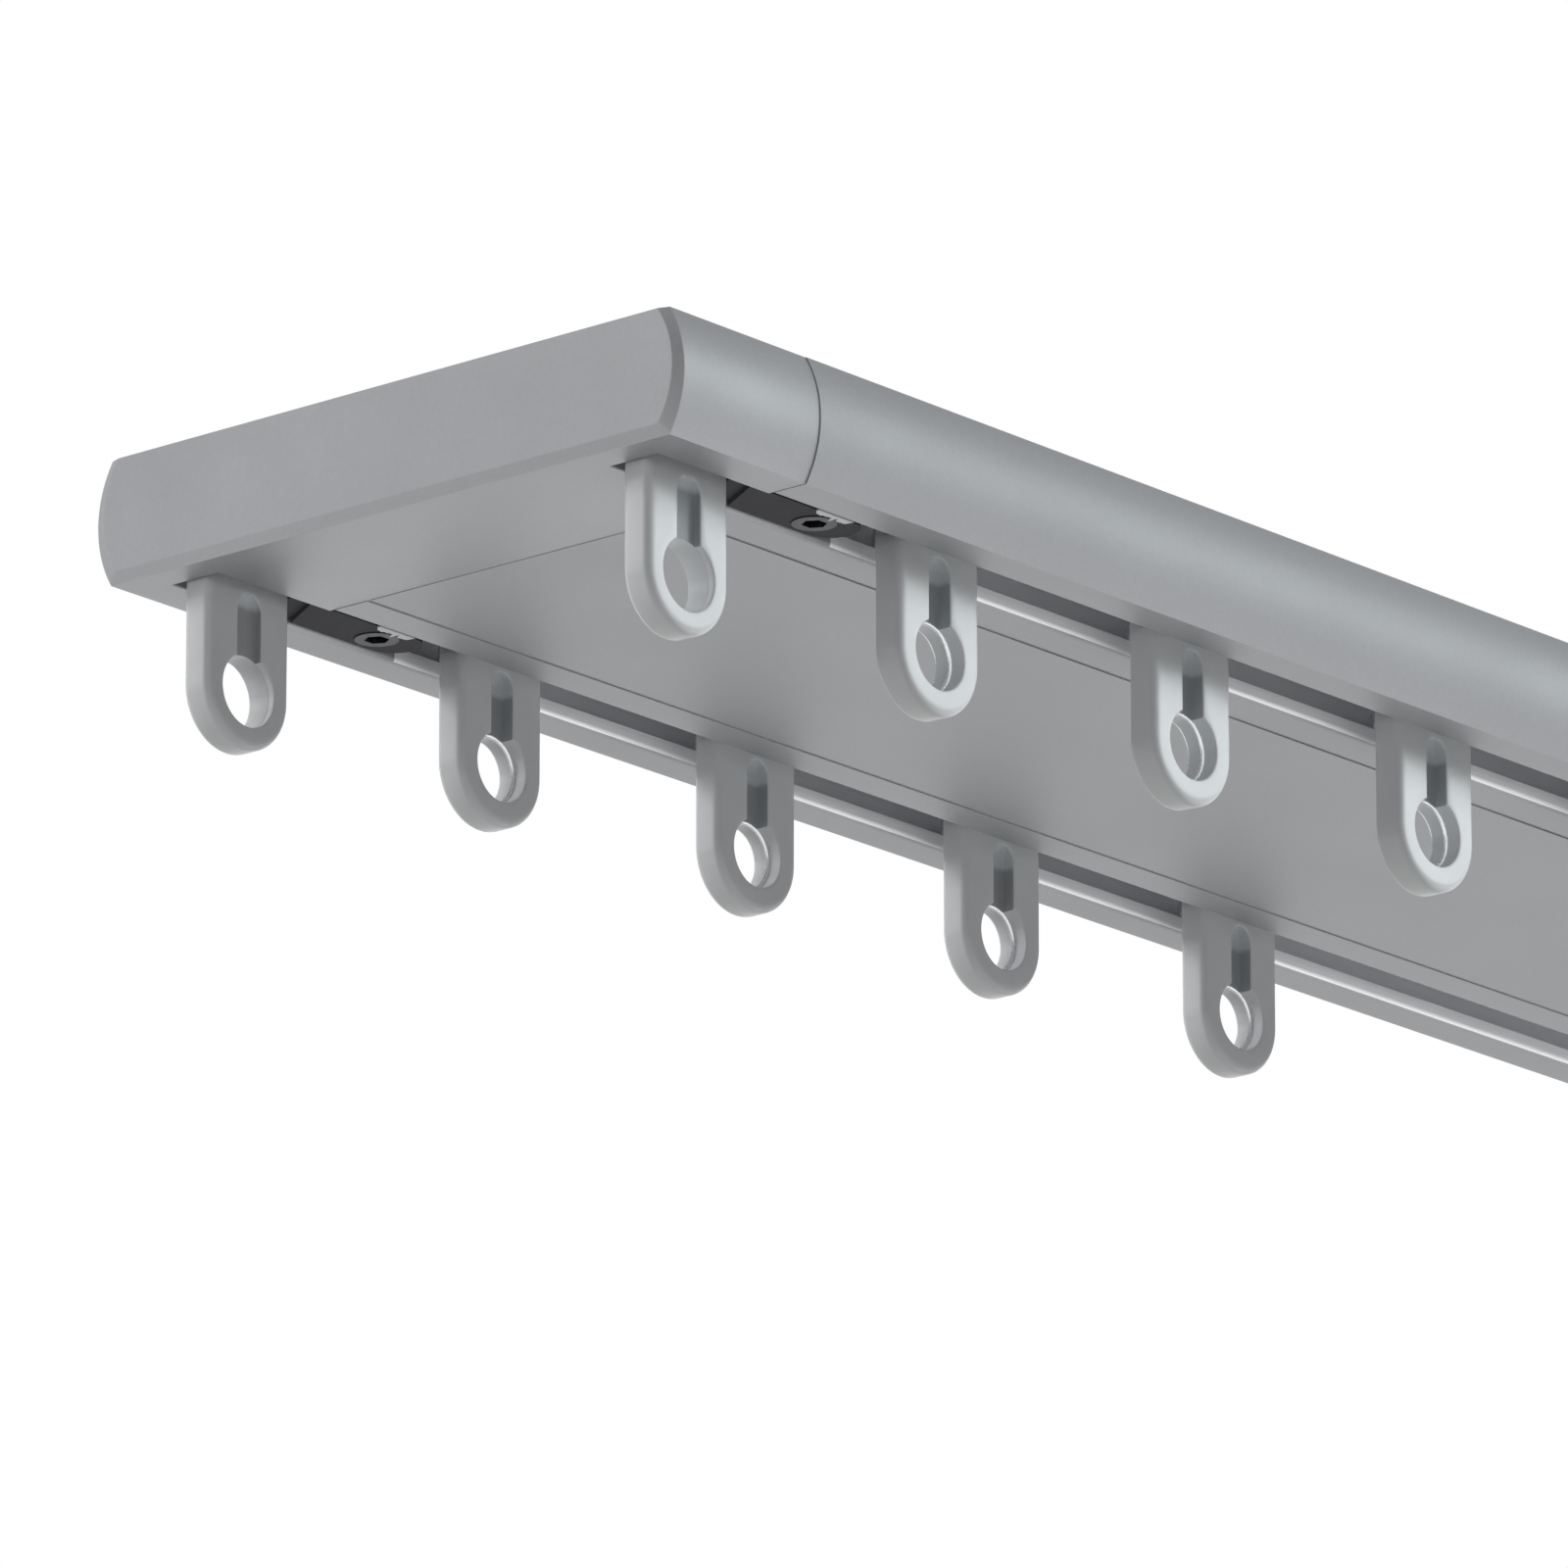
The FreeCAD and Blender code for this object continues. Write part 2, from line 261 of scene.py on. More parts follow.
def highlight_rim_acetal():
    """Acetal on the rims of the running gliders' bores, with a painted highlight: near-white and metallic,
    so that the rims show a bright crescent.
    """
    made, tree, place = new_material("acetal_rim_painted_highlight")
    rim_grain = grain(tree, place, 0.3, stretch=(1, 4, 1))
    # Painted highlight: a near-white colour on the rims
    colour = two_tones(tree, rim_grain, "eceef0", "f6f7f8")
    rough = span(tree, rim_grain, 0.22, 0.3)
    finish_material(tree, colour, rough, Metallic=0.9)
    return made


def dark_nylon():
    """Glass-filled nylon of the end stops: dark grey, dull, with a mottled skin from the fibres."""
    made, tree, place = new_material("nylon_dark_grey")
    mottle = grain(tree, place, 0.6, detail=3.0)
    colour = two_tones(tree, span(tree, mottle, 0.1, 0.9), "303034", "3a3a3e")
    rough = span(tree, mottle, 0.84, 0.94)
    finish_material(tree, colour, rough, mottle, 0.2, 0.06, IOR=1.53)
    return made


def zinc_steel():
    """Zinc plated steel of the clamp screws: a dull grey metal with a fine turned grain."""
    made, tree, place = new_material("zinc_plated_steel")
    turned = grain(tree, place, 0.25, stretch=(1, 1, 6))
    colour = two_tones(tree, span(tree, turned, 0.2, 0.8), "3e3f42", "4e4f52")
    rough = span(tree, turned, 0.36, 0.5)
    finish_material(tree, colour, rough, turned, 0.15, 0.04, Metallic=1.0)
    return made


# Meshes

def make_piece(name, points, faces, material, body, nodes, sharp_degrees=SHARP_DEGREES):
    """A mesh object from points in millimetres. Edges sharper than the angle stay sharp; it takes the
    place of the named nodes of the frame."""
    mesh = bpy.data.meshes.new(name)
    mesh.from_pydata((np.asarray(points) * MM).tolist(), [], faces)
    mesh.validate()
    work = bmesh.new()
    work.from_mesh(mesh)
    bmesh.ops.remove_doubles(work, verts=work.verts, dist=1e-7)
    bmesh.ops.recalc_face_normals(work, faces=work.faces)
    work.to_mesh(mesh)
    work.free()
    mesh.shade_smooth()
    mesh.set_sharp_from_angle(angle=math.radians(sharp_degrees))
    mesh.materials.append(material)
    piece = bpy.data.objects.new(name, mesh)
    bpy.context.scene.collection.objects.link(piece)
    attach(piece, body)
    if nodes:
        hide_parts(*nodes)
    return piece


def grid_faces(lines, columns, close_lines=False):
    """Quads of a grid of closed rings whose point (i, j) is number i * columns + j. With close_lines, the
    last ring is joined to the first."""
    i = np.arange(lines if close_lines else lines - 1)[:, None]
    j = np.arange(columns)[None, :]
    i2, j2 = (i + 1) % lines, (j + 1) % columns
    quads = np.stack([i * columns + j, i * columns + j2, i2 * columns + j2, i2 * columns + j], axis=-1)
    return quads.reshape(-1, 4).tolist()


def arc(centre, radius, start, end, steps):
    """Points of a circular arc between two angles in degrees: centre + radius * (cos, sin)."""
    angle = np.radians(np.linspace(start, end, steps))
    return np.stack([centre[0] + radius * np.cos(angle), centre[1] + radius * np.sin(angle)], axis=-1)


def side_curve(half, low, steps=29):
    """The swelling long side as an arc from the ceiling edge down to the lower edge. Its radius follows
    from the chord c and the bulge b: (c * c / 4 + b * b) / (2 * b)."""
    chord = -low
    radius = (chord ** 2 / 4 + BULGE ** 2) / (2 * BULGE)
    centre = (half + BULGE - radius, low / 2)
    reach = math.degrees(math.asin(chord / 2 / radius))
    return arc(centre, radius, reach, -reach, steps)


def channel_notch(y, slot_half, low, lip_round):
    """One channel, walked from its slot's edge on the +y side up and round to the other edge."""
    c = CHANNEL_CORNER
    right, left = y + CHANNEL_HALF - c, y - CHANNEL_HALF + c
    up, roof = LIP_TOP + c, ROOF - c
    parts = [
        arc((y + slot_half + lip_round, low + lip_round), lip_round, 270, 180, 9),
        [(y + slot_half, LIP_TOP)],
        arc((right, up), c, 270, 360, 6),
        arc((right, roof), c, 0, 90, 6),
        arc((left, roof), c, 90, 180, 6),
        arc((left, up), c, 180, 270, 6),
        [(y - slot_half, LIP_TOP)],
        arc((y - slot_half - lip_round, low + lip_round), lip_round, 0, -90, 9),
    ]
    return np.concatenate([np.asarray(p, float) for p in parts])


def groove(y):
    """A fine square groove in the underside, walked from +y to -y."""
    top = UNDERSIDE + GROOVE_DEPTH
    return np.array([(y + GROOVE_HALF, UNDERSIDE), (y + GROOVE_HALF, top),
                     (y - GROOVE_HALF, top), (y - GROOVE_HALF, UNDERSIDE)])


def rail_outline():
    """The rail's section, walked clockwise from the rear ceiling edge."""
    rear = side_curve(EDGE_HALF, UNDERSIDE)
    front = rear[::-1] * (-1, 1)
    notches = [channel_notch(ROWS[row], SLOT_HALF, UNDERSIDE, LIP_ROUND) for row in ("rear", "front")]
    return np.concatenate([rear, notches[0], groove(GROOVE_Y), groove(-GROOVE_Y), notches[1], front])


def cap_outline(inset, notched):
    """The cap's section, a little smaller than the rail's, with its channels where it is notched."""
    low = UNDERSIDE + CAP_STEP_BELOW
    rear = side_curve(EDGE_HALF - CAP_STEP - inset, low + inset)
    front = rear[::-1] * (-1, 1)
    middle = []
    if notched:
        middle = [channel_notch(ROWS[row], CAP_SLOT_HALF, low + inset, CAP_LIP_ROUND)
                  for row in ("rear", "front")]
    return np.concatenate([rear, *middle, front])


def run_section(sections, places):
    """A closed body whose section changes along X: section k stands at x = places[k]. Its two ends are
    filled with triangles."""
    count = len(sections[0])
    x = np.repeat(np.asarray(places, float), count)
    yz = np.concatenate(sections)
    points = np.column_stack([x, yz])
    faces = grid_faces(len(sections), count)
    ends = tessellate_polygon([[Vector((p[0], p[1], 0)) for p in sections[0]]])
    last = (len(sections) - 1) * count
    tail = tessellate_polygon([[Vector((p[0], p[1], 0)) for p in sections[-1]]])
    faces += [list(t) for t in ends] + [[last + i for i in t] for t in tail]
    return points, faces


def join_parts(parts):
    """Several sets of points and faces as one."""
    points, faces, start = [], [], 0
    for some_points, some_faces in parts:
        points.append(np.asarray(some_points, float))
        faces += [[start + i for i in face] for face in some_faces]
        start += len(some_points)
    return np.concatenate(points), faces


def rail_material(centre):
    """Number of a face's material: 1 inside a channel, 2 on a lip's wall and the upper part of its rounded
    edge up to the end stops, otherwise 0. Both are lighter aluminium, painted light on these shaded walls."""
    x, y, z = abs(centre.x) / MM, abs(centre.y) / MM, centre.z / MM
    if abs(y - ROWS["rear"]) > CHANNEL_HALF + 0.01 or not UNDERSIDE + 0.15 < z < ROOF + 0.01:
        return 0
    if z > LIP_TOP - 0.01:
        return 1
    # Painted light on the lips' walls, which stops where the end stops sit
    return 2 if x < LIT_LIP_HALF else 0


def screw_hole_cutters():
    """Four upright round bars through the roofs of the channels, one for each ceiling screw hole."""
    cutters, steps = [], 48
    for y in ROWS.values():
        for x in (-SCREW_HOLE_X, SCREW_HOLE_X):
            ring = arc((x, y), SCREW_HOLE_RADIUS, 0, 360 - 360 / steps, steps)
            low = np.column_stack([ring, np.full(steps, ROOF - 1)])
            high = np.column_stack([ring, np.full(steps, 1.0)])
            lids = [list(range(steps - 1, -1, -1)), list(range(steps, 2 * steps))]
            cutters.append((np.concatenate([low, high]), grid_faces(2, steps) + lids))
    return join_parts(cutters)


def build_rail(material, inner, lips):
    """The rail, with the four screw holes in the roofs of its channels. The channels' insides and the lips'
    walls wear lighter copies of the aluminium, which are painted light."""
    outline = rail_outline()
    points, faces = run_section([outline] * 4, [-RAIL_HALF, -LIT_LIP_HALF, LIT_LIP_HALF, RAIL_HALF])
    rail = make_piece("rail", points, faces, material, "track", ["rail_profile"])
    rail.data.materials.append(inner)
    rail.data.materials.append(lips)
    for face in rail.data.polygons:
        if abs(face.normal.x) < 0.5:
            face.material_index = rail_material(face.center)
    points, faces = screw_hole_cutters()
    mesh = bpy.data.meshes.new("screw_holes")
    mesh.from_pydata((points * MM).tolist(), [], faces)
    holes = bpy.data.objects.new("screw_holes", mesh)
    bpy.context.scene.collection.objects.link(holes)
    cut = rail.modifiers.new("screw holes", "BOOLEAN")
    cut.operation, cut.solver, cut.object = "DIFFERENCE", "EXACT", holes
    shown = rail.evaluated_get(bpy.context.evaluated_depsgraph_get())
    cut_mesh = bpy.data.meshes.new_from_object(shown)
    rail.modifiers.clear()
    rail.data = cut_mesh
    cut_mesh.set_sharp_from_angle(angle=math.radians(SHARP_DEGREES))
    bpy.data.objects.remove(holes)


def build_glint_sliver(name, x, y, material):
    """A bright jagged sliver of aluminium on the front lip's edge, beside the clamp screw, which is a
    painted glint. Tooth k of its free edge reaches 0.45 + 0.25 * sin(2.4 * k) + 0.2 * (-1)^k mm into the
    slot."""
    k = np.arange(GLINT_SLIVER_TEETH)
    along = x + GLINT_SLIVER_LENGTH * (k / (GLINT_SLIVER_TEETH - 1) - 0.5)
    root = y - SLOT_HALF - 0.3
    free = y - SLOT_HALF + 0.45 + 0.25 * np.sin(2.4 * k) + 0.2 * (-1.0) ** k
    free[[0, -1]] = y - SLOT_HALF
    rings = []
    for height, pull in ((-0.12, 0.1), (-0.05, 0.0), (0.2, 0.15)):
        level = np.full(GLINT_SLIVER_TEETH, UNDERSIDE + height + 0.06)
        inner = np.column_stack([along, np.full(GLINT_SLIVER_TEETH, root), level])
        outer = np.column_stack([along, free - pull, UNDERSIDE + height + 0.1 * np.cos(1.7 * k)])
        rings.append(np.concatenate([inner, outer[::-1]]))
    count = len(rings[0])
    faces = grid_faces(len(rings), count)
    for start, step in ((0, 1), (2 * count, -1)):
        for i in range(GLINT_SLIVER_TEETH - 1):
            quad = [start + i, start + i + 1, start + count - 2 - i, start + count - 1 - i]
            faces.append(quad[::step])
    make_piece(name, np.concatenate(rings), faces, material, "track", [],
               GLINT_SLIVER_SHARP_DEGREES)


def end_band():
    """Insets and places of the cap's chamfer, from the end face inwards. Each of its two edges is rounded
    by a quadratic curve, (1 - t)^2 * start + 2 * t * (1 - t) * edge + t^2 * end, and narrow strips beside
    the curves keep the flats flat."""
    face, side = np.array([END_BAND_FACE, 0.0]), np.array([0.0, END_BAND_SIDE])
    slope = (side - face) / np.linalg.norm(side - face)
    t = np.linspace(0, 1, 5)[:, None]

    def rounded(start, edge, end):
        return (1 - t) ** 2 * start + 2 * t * (1 - t) * edge + t ** 2 * end

    size = END_BAND_ROUND
    inward, along = np.array([1.0, 0.0]), np.array([0.0, 1.0])
    line = np.concatenate([
        [face + inward * 2.5 * size], rounded(face + inward * size, face, face + slope * size),
        [face + slope * 2 * size, side - slope * 2 * size],
        rounded(side - slope * size, side, side + along * size), [side + along * 2.5 * size]])
    return line[:, 0], line[:, 1]


def build_cap(side, material):
    """One end cap: the closed end with its band, then the slotted part up to the seam."""
    sign = -1 if side == "left" else 1
    insets, places = end_band()
    closed = [cap_outline(i, False) for i in insets] + [cap_outline(0, False)]
    x = list(places) + [CAP_SLOT_START]
    seam = HALF_LENGTH - RAIL_HALF
    t = np.radians(np.linspace(0, 90, 4))
    open_insets = np.concatenate([[0], SEAM_ROUND * (1 - np.cos(t))])
    open_x = np.concatenate([[CAP_SLOT_START], seam - SEAM_ROUND * (1 - np.sin(t))])
    slotted = [cap_outline(i, True) for i in open_insets]
    parts = [run_section(closed, [sign * (HALF_LENGTH - v) for v in x]),
             run_section(slotted, [sign * (HALF_LENGTH - v) for v in open_x])]
    points, faces = join_parts(parts)
    make_piece("cap_" + side, points, faces, material, "track", ["end_cap_" + side])


# Hanging eyes. Their rounded edges are walked through the angles of a quarter turn.
QUARTER = np.radians(np.linspace(0, 90, 7))


def outer_radius(angle, inset, kind):
    """Distance from the bore's middle to the plate's outline, inset by some amount: a half circle below,
    straight sides above, cut off at the head. Angle 0 points up."""
    half = kind["half"] - inset
    top = kind["drop"] - kind["half"] + LIP_TOP - UNDERSIDE + HEAD_GAP
    sine, cosine = np.abs(np.sin(angle)), np.cos(angle)
    side = np.where(cosine > 0, half / np.maximum(sine, 1e-9), half)
    roof = np.where(cosine > 0, top / np.maximum(cosine, 1e-9), np.inf)
    return np.minimum(side, roof)


def keyhole_radius(angle, inset, kind):
    """Distance from the bore's middle to the keyhole's outline: the larger of the round part's radius
    and the reach of the upright arm, whose upper end is a half circle."""
    half = kind["key_half"] - inset
    centre = kind["key_top"] - kind["key_half"]
    sine, cosine = np.abs(np.sin(angle)), np.cos(angle)
    straight = half / np.maximum(sine, 1e-9)
    inside = np.maximum(half ** 2 - (centre * sine) ** 2, 0)
    rounded = centre * cosine + np.sqrt(inside)
    on_side = straight * cosine <= centre
    arm = np.where(cosine > 0, np.where(on_side, straight, rounded), 0)
    return np.maximum(kind["pocket"] - inset, arm)


def floor_depth(radius, angle, kind):
    """Depth of the keyhole's floor behind the front face. Near the arm's upper end it rises in a round
    ramp, depth * sqrt(1 - (1 - s) ^ 2), where s is the share of the ramp that is left above the point."""
    share = np.clip((kind["key_top"] - radius * np.cos(angle)) / kind["ramp"], 0, 1)
    return kind["key_depth"] * np.sqrt(np.maximum(1 - (1 - share) ** 2, 0))


def eye_angles(kind, count=160):
    """Angles round the bore, closer together where the keyhole's or the plate's outline is long."""
    fine = np.linspace(-math.pi, math.pi, 6001)
    step = np.zeros(len(fine))
    for radius in (keyhole_radius(fine, 0, kind), outer_radius(fine, 0, kind), np.full(len(fine), 4.0)):
        step[1:] += np.hypot(np.diff(radius), radius[1:] * np.diff(fine))
    length = np.cumsum(step)
    return np.interp(np.arange(count) / count * length[-1], length, fine)


def side_and_back(angle, kind):
    """Lines round the plate's rounded side, then across its flat back to the bore's rear rim. Each line
    is a radius and a depth for every angle round the bore."""
    edge, thick, rim = kind["edge"], EYE_THICKNESS, BACK_RIM_ROUND
    bore = np.full(len(angle), kind["bore"])
    lines = []
    for t in QUARTER:
        lines.append((outer_radius(angle, edge * (1 - math.sin(t)), kind), edge * (1 - math.cos(t))))
    for t in QUARTER[::-1]:
        radius = outer_radius(angle, edge * (1 - math.sin(t)), kind)
        lines.append((radius, thick - edge * (1 - math.cos(t))))
    back = outer_radius(angle, edge, kind)
    for share in (0.25, 0.5, 0.75):
        lines.append((back + (bore + rim - back) * share, thick))
    for t in QUARTER[::2]:
        lines.append((bore + rim * (1 - math.sin(t)), thick - rim * (1 - math.cos(t))))
    return lines


def keyhole_floor(angle, kind):
    """Lines over the bore's rounded ledge and across the keyhole's floor to the foot of its wall."""
    bore = np.full(len(angle), kind["bore"])
    ledge = kind["ledge_round"]
    rim = bore + ledge
    depth = floor_depth(rim, angle, kind)
    lines = []
    for t in QUARTER[::-1][::2]:
        lines.append((bore + ledge * (1 - math.sin(t)), depth + ledge * (1 - math.cos(t))))
    foot = np.maximum(keyhole_radius(angle, KEY_FLOOR_ROUND, kind), rim)
    for share in (0.25, 0.5, 0.7, 0.85, 1.0):
        radius = rim + (foot - rim) * share
        lines.append((radius, floor_depth(radius, angle, kind)))
    return lines


def keyhole_wall(angle, kind):
    """Lines up the keyhole's wall from its rounded foot, over its rounded lip and across the front."""
    foot, lip = KEY_FLOOR_ROUND, KEY_LIP_ROUND
    rim = kind["bore"] + kind["ledge_round"]
    lines = []
    for t in np.radians((30, 60, 90)):
        radius = np.maximum(keyhole_radius(angle, foot * (1 - math.sin(t)), kind), rim)
        floor = floor_depth(radius, angle, kind)
        lines.append((radius, floor - np.minimum(foot * (1 - math.cos(t)), floor)))
    floor = floor_depth(keyhole_radius(angle, 0, kind), angle, kind)
    for t in np.radians((0, 30, 60, 90)):
        radius = keyhole_radius(angle, -lip * (1 - math.cos(t)), kind)
        lines.append((radius, np.minimum(lip * (1 - math.sin(t)), floor)))
    mouth, front = keyhole_radius(angle, -lip, kind), outer_radius(angle, kind["edge"], kind)
    for share in (0.2, 0.5, 0.8):
        lines.append((mouth + (front - mouth) * share, 0.0))
    return lines


def eye_plate(kind):
    """The plate with its keyhole, as a closed ring of lines round the bore: over the side, down the back,
    through the bore, over the ledge and the keyhole's floor, up its wall and across the front."""
    angle = eye_angles(kind)
    lines = []
    for radius, depth in side_and_back(angle, kind) + keyhole_floor(angle, kind) + keyhole_wall(angle, kind):
        x, z = radius * np.sin(angle), radius * np.cos(angle)
        lines.append(np.stack([x, np.broadcast_to(depth, x.shape), z], axis=-1))
    return np.concatenate(lines), grid_faces(len(lines), len(angle), close_lines=True)


def head_half(side):
    """One half of the eight-sided head above the lips, beside the slit. Its crown is rounded over: ring k
    shrinks towards the middle of the half."""
    y0, y1, corner = RELIEF_HALF, HEAD_HALF, HEAD_CORNER
    outline = side * np.array([(HEAD_HALF, y0), (HEAD_HALF, y1 - corner), (HEAD_HALF - corner, y1),
                               (corner - HEAD_HALF, y1), (-HEAD_HALF, y1 - corner), (-HEAD_HALF, y0)])
    centre = np.array([0.0, side * (y0 + y1) / 2])
    half = np.array([HEAD_HALF, (y1 - y0) / 2])
    rings = []
    rounded = ((0.15, 0.0), (0.0, 0.15), (0.0, HEAD_HEIGHT - 0.6), (0.18, HEAD_HEIGHT - 0.18),
               (0.6, HEAD_HEIGHT))
    for inset, height in rounded:
        ring = centre + (outline - centre) * (1 - inset / half)
        rings.append(np.column_stack([ring, np.full(len(ring), height)]))
    count = len(outline)
    faces = grid_faces(len(rings), count)
    faces += [list(range(count - 1, -1, -1)), [(len(rings) - 1) * count + i for i in range(count)]]
    return np.concatenate(rings), faces


def eye_material(x, z, depth, kind):
    """Number of a face's material, from its place beside the bore's middle and its depth: 1 on the bore's
    rounded rims, which carry a painted highlight, 2 in the keyhole's arm, which carries painted shade,
    otherwise 0."""
    radius = math.hypot(x, z)
    if kind["bore"] + 0.01 < radius < kind["bore"] + kind["ledge_round"] - 0.01:
        return 1
    in_height = 0 < z < kind["key_top"] + 0.02
    in_arm = abs(x) < kind["key_half"] + 0.02 and kind["pocket"] < radius and in_height
    return 2 if in_arm and 0.1 < depth < kind["key_depth"] + 0.05 else 0


def build_eye(name, kind, x, y, materials, body, node):
    """A hanging eye in its place: the plate hangs through the slot and the head rests on the lips."""
    plate, plate_faces = eye_plate(kind)
    middle = np.array([x, y - EYE_THICKNESS / 2, UNDERSIDE - kind["drop"] + kind["half"]])
    plate = plate + middle
    parts = [(plate, plate_faces)]
    for side in (-1, 1):
        points, faces = head_half(side)
        parts.append((points + (x, y, LIP_TOP + HEAD_GAP), faces))
    points, faces = join_parts(parts)
    piece = make_piece(name, points, faces, materials[0], body, [node])
    for extra in materials[1:]:
        piece.data.materials.append(extra)
    for face in piece.data.polygons:
        across, depth, up = np.array(face.center) / MM - middle
        face.material_index = eye_material(across, up, depth, kind)


# Studio

def area_light(name, direction, size, power, colour, in_metal):
    """A square soft lamp that shines on the track from a direction. The metal may mirror it."""
    data = bpy.data.lights.new(name, "AREA")
    data.color = hex_colour(colour)[:3]
    data.shape, data.size, data.energy = "SQUARE", size, power
    lamp = bpy.data.objects.new(name, data)
    way = Vector(direction).normalized()
    lamp.location = Vector(LAMP_TARGET) + way * LAMP_DISTANCE
    lamp.rotation_euler = way.to_track_quat("Z", "Y").to_euler()
    lamp.visible_glossy = in_metal
    bpy.context.scene.collection.objects.link(lamp)


def facing(tree, direction, towards, low, high):
    """How far a direction points towards another one: 0 at the cosine low, 1 at the cosine high."""
    cosine = add(tree, "ShaderNodeVectorMath", {0: direction, 1: Vector(towards).normalized()},
                 operation="DOT_PRODUCT").outputs["Value"]
    return add(tree, "ShaderNodeMapRange", {"Value": cosine, "From Min": low, "From Max": high},
               interpolation_type="SMOOTHSTEP").outputs["Result"]


def seen_or_mirrored(tree, ray):
    """1 where the camera looks straight, through or by a reflection, otherwise 0."""
    seen = ray.outputs["Is Camera Ray"]
    for other in ("Is Glossy Ray", "Is Transmission Ray"):
        both = {0: seen, 1: ray.outputs[other]}
        seen = add(tree, "ShaderNodeMath", both, operation="MAXIMUM").outputs[0]
    return seen


def white_room():
    """A studio that looks plain white, with a softer light of its own on the track. Its reflections are
    dimmer round the directions of DIM_SIDES, so that each side of the track keeps a tone of its own."""
    world = bpy.data.worlds.new("studio")
    world.use_nodes = True
    tree = world.node_tree
    tree.nodes.clear()
    ray = add(tree, "ShaderNodeLightPath")
    way = add(tree, "ShaderNodeTexCoord").outputs["Generated"]
    seen = seen_or_mirrored(tree, ray)
    level = 1.0
    for towards, start, full, dimmed in DIM_SIDES:
        near = facing(tree, way, towards, start, full)
        there = add(tree, "ShaderNodeMath", {0: near, 1: ray.outputs["Is Glossy Ray"]},
                    operation="MULTIPLY").outputs[0]
        dim = add(tree, "ShaderNodeMapRange", {"Value": there, "To Min": 1.0, "To Max": dimmed})
        level = add(tree, "ShaderNodeMath", {0: level, 1: dim.outputs["Result"]},
                    operation="MULTIPLY").outputs[0]
    light = add(tree, "ShaderNodeBackground", {"Color": hex_colour("ffffff"), "Strength": ROOM_LIGHT})
    white = add(tree, "ShaderNodeBackground", {"Color": hex_colour("ffffff"), "Strength": level})
    both = add(tree, "ShaderNodeMixShader", {0: seen, 1: light.outputs[0], 2: white.outputs[0]})
    add(tree, "ShaderNodeOutputWorld", {"Surface": both.outputs[0]})
    bpy.context.scene.world = world


def pale_floor():
    """The room's pale floor, far below a track on the ceiling. From under it, it lets the room show."""
    made, tree, place = new_material("painted_floor_white")
    speckle = grain(tree, place, 60.0)
    tone = two_tones(tree, span(tree, speckle, 0.2, 0.8), "eeeeec", "f4f4f2")
    paint = add(tree, "ShaderNodeBsdfPrincipled", {"Base Color": tone, "Roughness": 0.6})
    seen = seen_or_mirrored(tree, add(tree, "ShaderNodeLightPath"))
    white = add(tree, "ShaderNodeEmission", {"Color": hex_colour("ffffff"), "Strength": 1.0})
    shown = add(tree, "ShaderNodeMixShader", {0: seen, 1: paint.outputs["BSDF"], 2: white.outputs[0]})
    clear = add(tree, "ShaderNodeBsdfTransparent")
    back = add(tree, "ShaderNodeNewGeometry").outputs["Backfacing"]
    both = add(tree, "ShaderNodeMixShader", {0: back, 1: shown.outputs[0], 2: clear.outputs[0]})
    add(tree, "ShaderNodeOutputMaterial", {"Surface": both.outputs[0]})
    mesh = bpy.data.meshes.new("floor")
    signs = [(-1, -1), (1, -1), (1, 1), (-1, 1)]
    corners = [(x * FLOOR_REACH, y * FLOOR_REACH, FLOOR_HEIGHT) for x, y in signs]
    mesh.from_pydata(corners, [], [(0, 1, 2, 3)])
    mesh.materials.append(made)
    floor = bpy.data.objects.new("floor", mesh)
    bpy.context.scene.collection.objects.link(floor)


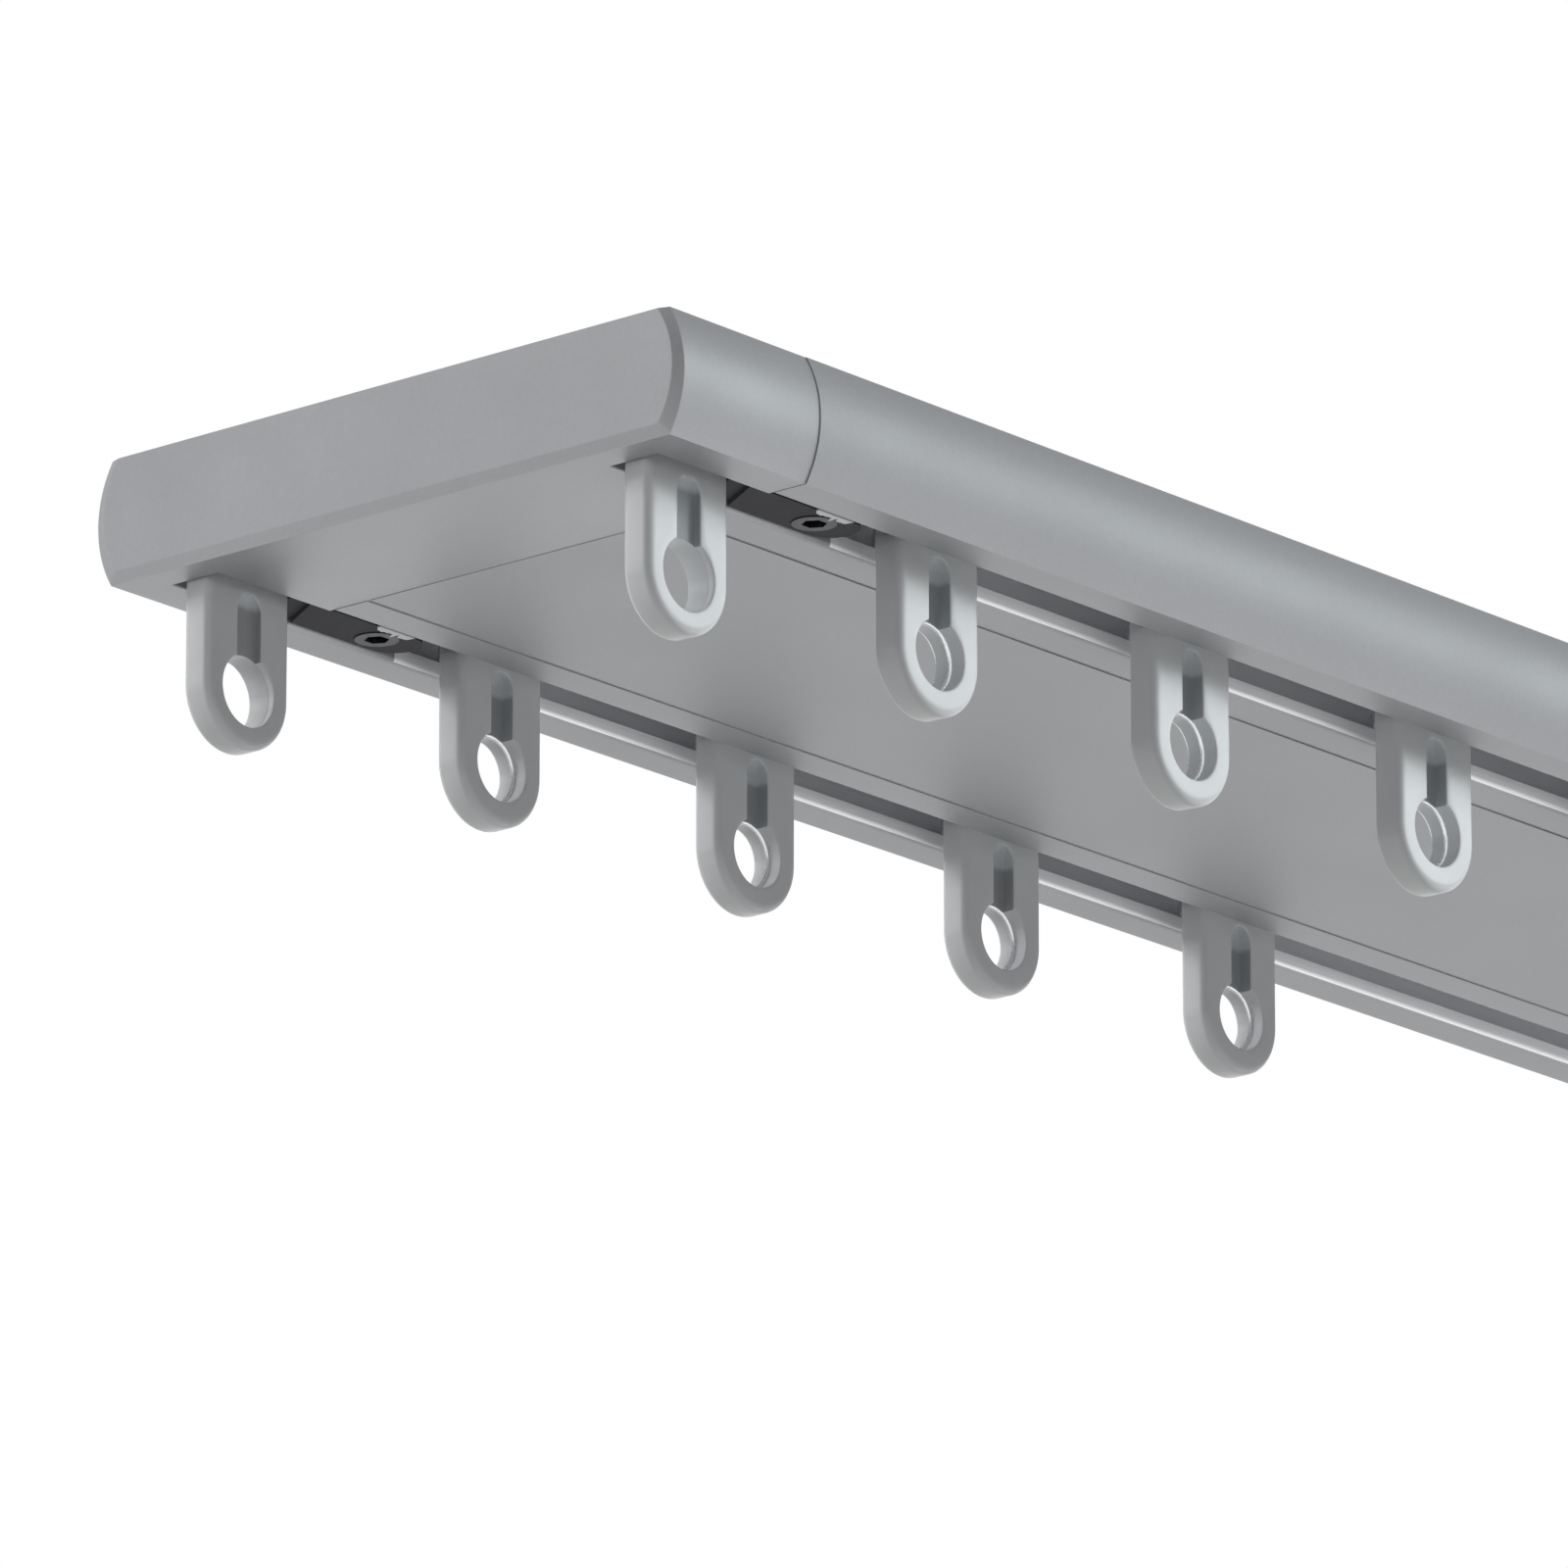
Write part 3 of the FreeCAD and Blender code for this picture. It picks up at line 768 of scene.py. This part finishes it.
def camera():
    """The photograph's view: from below and from the left end, with a long lens."""
    data = bpy.data.cameras.new("camera")
    data.sensor_width = 36.0
    data.lens = CAMERA_LENS
    data.clip_start, data.clip_end = 0.05, 100.0
    view = bpy.data.objects.new("camera", data)
    view.location = CAMERA_PLACE
    yaw, pitch = math.radians(CAMERA_YAW), math.radians(CAMERA_PITCH)
    level = math.cos(pitch)
    forward = Vector((level * math.sin(yaw), level * math.cos(yaw), math.sin(pitch)))
    view.rotation_euler = forward.to_track_quat("-Z", "Y").to_euler()
    bpy.context.scene.collection.objects.link(view)
    bpy.context.scene.camera = view


def dress(node, material):
    """Gives a node of the frame its material."""
    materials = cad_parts[node].data.materials
    materials.clear()
    materials.append(material)


def main():
    moulding, nylon, steel = silver_moulding(), dark_nylon(), zinc_steel()
    # The second of the eye's materials carries a painted highlight on the bores' rims, the third painted
    # shade in the keyholes' arms
    eye = [acetal(), highlight_rim_acetal(), shaded_arm_acetal()]
    # Painted light: lighter aluminium on the channels' insides and the lips' walls, and a painted glint on
    # the slivers
    inner = painted_light_aluminium("aluminium_channel_painted_light", "d6d7d9", "e3e4e6", 0.6, 0.7)
    glint_metal = painted_light_aluminium("aluminium_sliver_painted_glint", "9c9da0", "c8c9cc", 0.4, 0.55)
    lips = painted_light_aluminium("aluminium_lips_painted_light", "f4f5f6", "fafafb", 0.62, 0.7)
    build_rail(anodised_aluminium(), inner, lips)
    for side in ("left", "right"):
        build_cap(side, moulding)
    end_x = HALF_LENGTH - CAP_SLOT_START - NECK_END_GAP - END_EYE["half"]
    for row, y in ROWS.items():
        for side, sign in (("left", -1), ("right", 1)):
            tag = row + "_" + side
            build_eye("fixed_eye_" + tag, END_EYE, sign * end_x, y, eye, "track", "end_eye_" + tag)
            # Painted glint: a bright sliver on the lip's edge beside the screw
            build_glint_sliver("lip_glint_sliver_" + tag, sign * GLINT_SLIVER_X, y, glint_metal)
            dress("end_stop_" + tag, nylon)
            dress("stop_screw_" + tag, steel)
        for number in range(GLIDERS):
            node = "glider_%s_%02d" % (row, number + 1)
            x = -HALF_LENGTH + FIRST_GLIDER_X + number * GLIDER_PITCH
            build_eye("running_" + node, GLIDER, x, y, eye, node, node)
    for lamp in LAMPS:
        area_light(*lamp)
    white_room()
    pale_floor()
    camera()
    bpy.context.scene.view_settings.view_transform = "Standard"


main()
